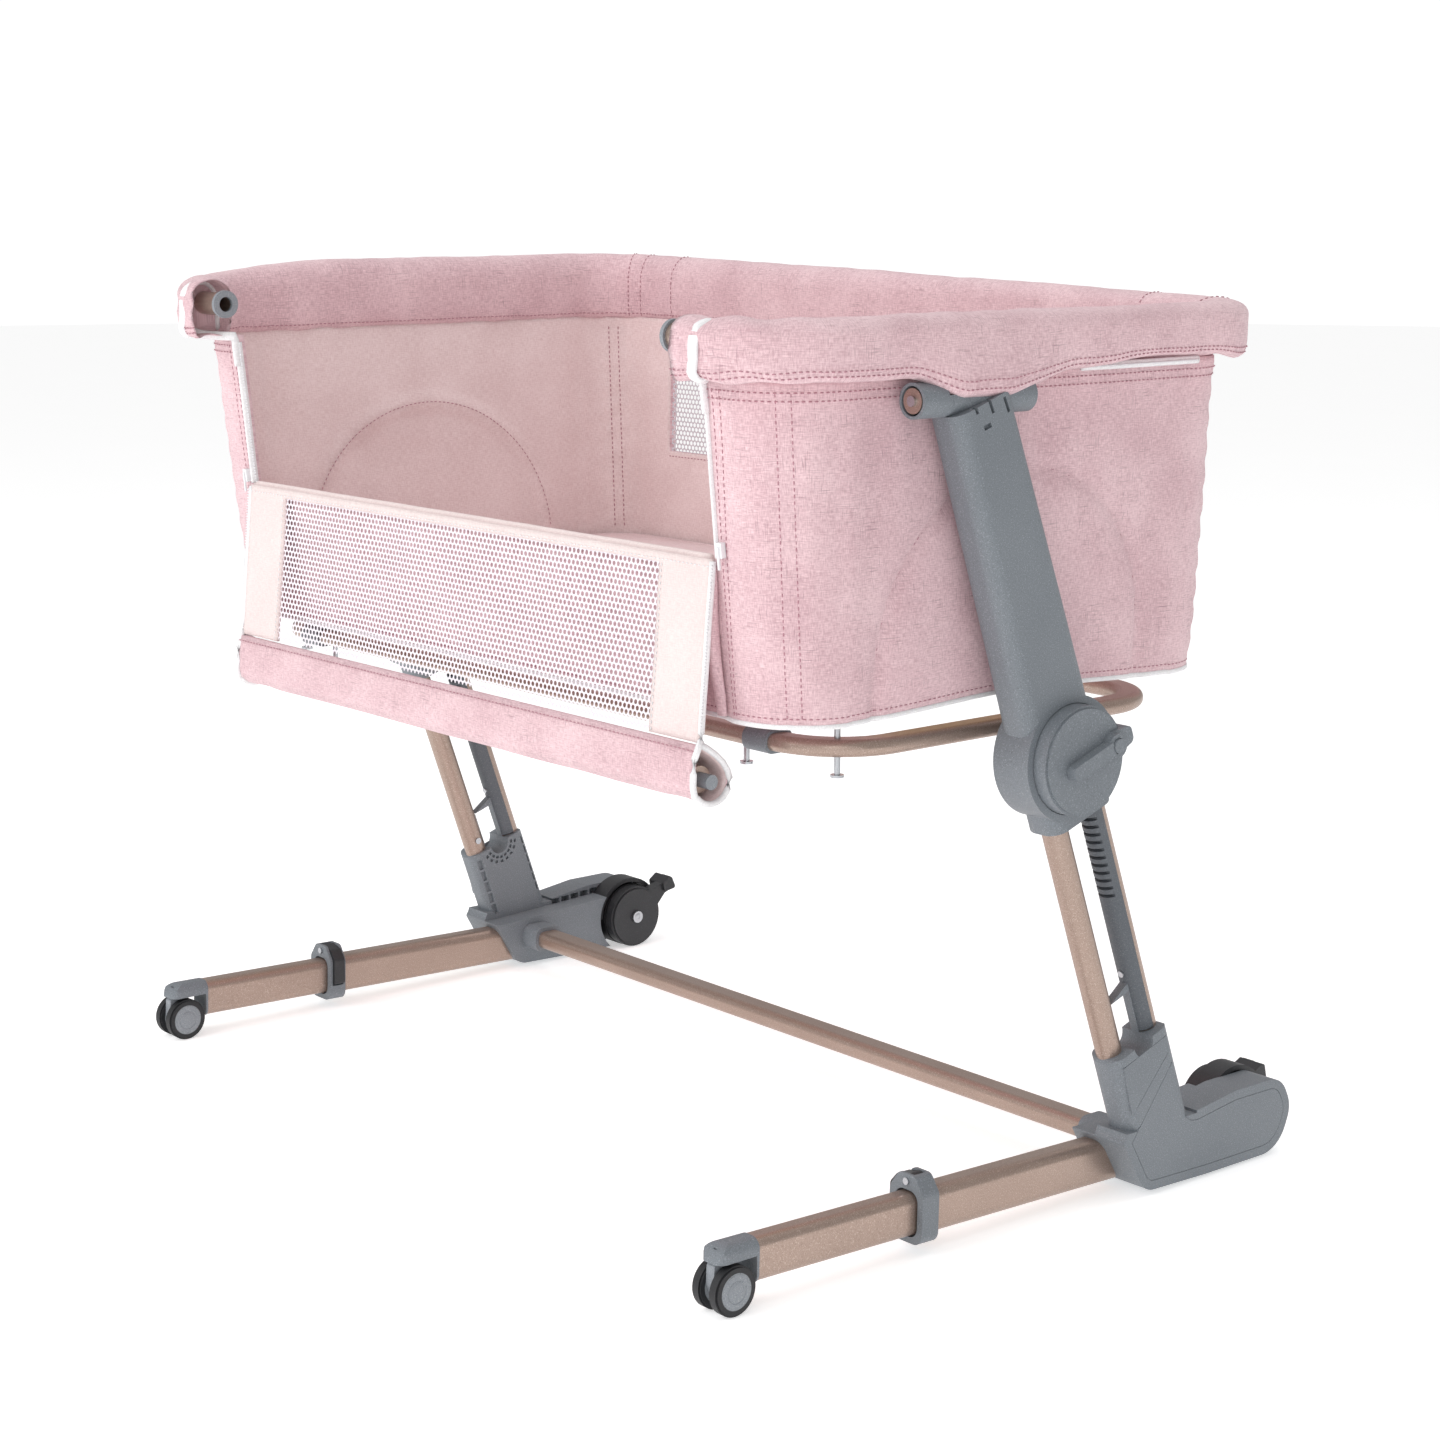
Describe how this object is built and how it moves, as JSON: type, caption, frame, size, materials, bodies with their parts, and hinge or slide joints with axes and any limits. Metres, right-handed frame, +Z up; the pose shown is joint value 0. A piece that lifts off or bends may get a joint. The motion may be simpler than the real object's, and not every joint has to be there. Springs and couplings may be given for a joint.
{
  "type": "bassinet on stand",
  "caption": "Bedside bassinet: a padded fabric basket with a drop-down mesh side, slung between two height-adjustable arms on a leaning stand with extending feet, castors and braked wheels.",
  "frame": {"origin": "on the floor, below the middle of the overall box", "axes": "+Z up; X along the basket and the cross tube, +X towards the right foot; the drop side and the extending toes face -Y"},
  "size_m": [0.997, 0.6615, 0.7584],
  "materials": {
    "grey_plastic": "fine speckled satin",
    "dark_plastic": "satin",
    "black_plastic": "satin",
    "light_plastic": "satin",
    "tyre": "matte",
    "rose_metal": "satin metallic paint",
    "bright_steel": "brushed",
    "board": "plain board",
    "inner_fabric": "plain weave",
    "panel_fabric": "mesh and plain weave",
    "outer_fabric": "melange linen weave",
    "white_plastic": "gloss"
  },
  "bodies": {
    "stand": {"right_boot": "grey_plastic", "left_boot": "grey_plastic", "boot_covers": "grey_plastic", "right_outer_beam": "rose_metal", "left_outer_beam": "rose_metal", "cross_tube": "rose_metal", "right_clamp_collar": "grey_plastic", "left_clamp_collar": "grey_plastic", "clamp_pins": "bright_steel", "right_front_leg": "rose_metal", "left_front_leg": "rose_metal", "right_rear_leg": "rose_metal", "left_rear_leg": "rose_metal", "right_height_rack": "dark_plastic", "left_height_rack": "dark_plastic", "leg_screws": "bright_steel", "wheel_guards": "black_plastic", "rear_axles": "bright_steel"},
    "right_toe": {"right_inner_beam": "rose_metal", "right_toe_cap": "grey_plastic"},
    "right_castor": {"right_castor_fork": "light_plastic"},
    "right_roller_pair": {"right_rollers": "tyre"},
    "right_wheel": {"right_rear_wheel": "tyre"},
    "right_brake": {"right_brake_pedal": "black_plastic"},
    "right_clamp": {"right_clamp_lever": "black_plastic"},
    "left_toe": {"left_inner_beam": "rose_metal", "left_toe_cap": "grey_plastic"},
    "left_castor": {"left_castor_fork": "light_plastic"},
    "left_roller_pair": {"left_rollers": "tyre"},
    "left_wheel": {"left_rear_wheel": "tyre"},
    "left_brake": {"left_brake_pedal": "black_plastic"},
    "left_clamp": {"left_clamp_lever": "black_plastic"},
    "left_carriage": {"left_arm": "grey_plastic"},
    "right_carriage": {"right_arm": "grey_plastic"},
    "basket": {"rim_rail": "rose_metal", "rim_end_rings": "light_plastic", "pivot_tubes": "rose_metal", "pivot_brackets": "dark_plastic", "pivot_screws": "bright_steel", "lower_frame": "rose_metal", "frame_brackets": "grey_plastic", "frame_studs": "bright_steel", "base_board": "board", "mattress": "inner_fabric", "tub_cover": "outer_fabric", "rim_cover": "outer_fabric"},
    "right_knob": {"right_release_knob": "grey_plastic"},
    "right_button": {"right_lock_button": "grey_plastic"},
    "right_pawl": {"right_latch_pawl": "bright_steel"},
    "left_knob": {"left_release_knob": "grey_plastic"},
    "left_button": {"left_lock_button": "grey_plastic"},
    "left_pawl": {"left_latch_pawl": "bright_steel"},
    "drop_side": {"flap_rail": "rose_metal", "flap_panel": "panel_fabric", "flap_roll": "outer_fabric"},
    "right_rail_plunger": {"right_plunger": "light_plastic"},
    "right_zip": {"right_zip_slider": "white_plastic"},
    "left_rail_plunger": {"left_plunger": "light_plastic"},
    "left_zip": {"left_zip_slider": "white_plastic"}
  },
  "joints": [
    {"name": "right_toe_slide", "type": "slide", "parent": "stand", "child": "right_toe", "axis": [0, -0.9997, 0.0244], "range_m": [-0.15, 0.015]},
    {"name": "right_castor_swivel", "type": "hinge", "parent": "right_toe", "child": "right_castor", "pos_m": [0.436, -0.31588, 0.0418], "axis": [0, 0, 1], "continuous": true},
    {"name": "right_roller_spin", "type": "hinge", "parent": "right_castor", "child": "right_roller_pair", "pos_m": [0.436, -0.31088, 0.02], "axis": [1, 0, 0], "continuous": true},
    {"name": "right_wheel_spin", "type": "hinge", "parent": "stand", "child": "right_wheel", "pos_m": [0.431, 0.271, 0.034], "axis": [1, 0, 0], "continuous": true},
    {"name": "right_brake_press", "type": "hinge", "parent": "stand", "child": "right_brake", "pos_m": [0.413, 0.271, 0.034], "axis": [1, 0, 0], "range_deg": [0, 25]},
    {"name": "right_clamp_release", "type": "hinge", "parent": "stand", "child": "right_clamp", "pos_m": [0.436, -0.1118, 0.05825], "axis": [0, 0.9997, -0.0244], "range_deg": [0, 70]},
    {"name": "left_toe_slide", "type": "slide", "parent": "stand", "child": "left_toe", "axis": [0, -0.9997, 0.0244], "range_m": [-0.125, 0.04]},
    {"name": "left_castor_swivel", "type": "hinge", "parent": "left_toe", "child": "left_castor", "pos_m": [-0.436, -0.29039, 0.0418], "axis": [0, 0, 1], "continuous": true},
    {"name": "left_roller_spin", "type": "hinge", "parent": "left_castor", "child": "left_roller_pair", "pos_m": [-0.436, -0.28538, 0.02], "axis": [1, 0, 0], "continuous": true},
    {"name": "left_wheel_spin", "type": "hinge", "parent": "stand", "child": "left_wheel", "pos_m": [-0.431, 0.271, 0.034], "axis": [1, 0, 0], "continuous": true},
    {"name": "left_brake_press", "type": "hinge", "parent": "stand", "child": "left_brake", "pos_m": [-0.413, 0.271, 0.034], "axis": [1, 0, 0], "range_deg": [-11, 14]},
    {"name": "left_clamp_release", "type": "hinge", "parent": "stand", "child": "left_clamp", "pos_m": [-0.436, -0.1118, 0.05825], "axis": [0, -0.9997, 0.0244], "range_deg": [0, 70]},
    {"name": "height_slide", "type": "slide", "parent": "stand", "child": "left_carriage", "axis": [0, -0.3338, 0.9426], "range_m": [-0.0864, 0]},
    {"name": "incline", "type": "hinge", "parent": "left_carriage", "child": "basket", "pos_m": [-0.455, -0.08165, 0.6821], "axis": [0, -1, 0], "range_deg": [-3, 3]},
    {"name": "right_arm_slide", "type": "slide", "parent": "left_carriage", "child": "right_carriage", "axis": [0, -0.3338, 0.9426], "range_m": [-0.0515, 0.0515]},
    {"name": "right_knob_turn", "type": "hinge", "parent": "right_carriage", "child": "right_knob", "pos_m": [0.481, 0.0215, 0.388], "axis": [1, 0, 0], "range_deg": [0, 35], "stiffness_Nm_per_rad": 0.6, "springref_deg": -8.59},
    {"name": "right_button_press", "type": "slide", "parent": "right_knob", "child": "right_button", "axis": [-1, 0, 0], "range_m": [0, 0.003], "stiffness_N_per_m": 400, "springref_m": -0.001},
    {"name": "right_pawl_slide", "type": "slide", "parent": "right_carriage", "child": "right_pawl", "axis": [0, -0.9426, -0.3338], "range_m": [0, 0.003]},
    {"name": "left_knob_turn", "type": "hinge", "parent": "left_carriage", "child": "left_knob", "pos_m": [-0.481, 0.0215, 0.388], "axis": [1, 0, 0], "range_deg": [0, 35], "stiffness_Nm_per_rad": 0.6, "springref_deg": -8.59},
    {"name": "left_button_press", "type": "slide", "parent": "left_knob", "child": "left_button", "axis": [1, 0, 0], "range_m": [0, 0.003], "stiffness_N_per_m": 400, "springref_m": -0.001},
    {"name": "left_pawl_slide", "type": "slide", "parent": "left_carriage", "child": "left_pawl", "axis": [0, -0.9426, -0.3338], "range_m": [0, 0.003]},
    {"name": "drop_side_fold", "type": "hinge", "parent": "basket", "child": "drop_side", "pos_m": [0, -0.245, 0.559], "axis": [-1, 0, 0], "range_deg": [0, 160]},
    {"name": "right_plunger_press", "type": "slide", "parent": "drop_side", "child": "right_rail_plunger", "axis": [-1, 0, 0], "range_m": [0, 0.014], "stiffness_N_per_m": 250, "springref_m": -0.004},
    {"name": "right_zip_run", "type": "slide", "parent": "basket", "child": "right_zip", "axis": [0, -0.1112, 0.9938], "range_m": [0, 0.12]},
    {"name": "left_plunger_press", "type": "slide", "parent": "drop_side", "child": "left_rail_plunger", "axis": [1, 0, 0], "range_m": [0, 0.014], "stiffness_N_per_m": 250, "springref_m": -0.004},
    {"name": "left_zip_run", "type": "slide", "parent": "basket", "child": "left_zip", "axis": [0, -0.1112, 0.9938], "range_m": [0, 0.12]}
  ],
  "couplings": [
    {"joint": "right_arm_slide", "follows": "incline", "m_per_rad": 0.96537},
    {"joint": "right_pawl_slide", "follows": "right_knob_turn", "m_per_rad": 0.004747},
    {"joint": "left_pawl_slide", "follows": "left_knob_turn", "m_per_rad": 0.004747}
  ]
}
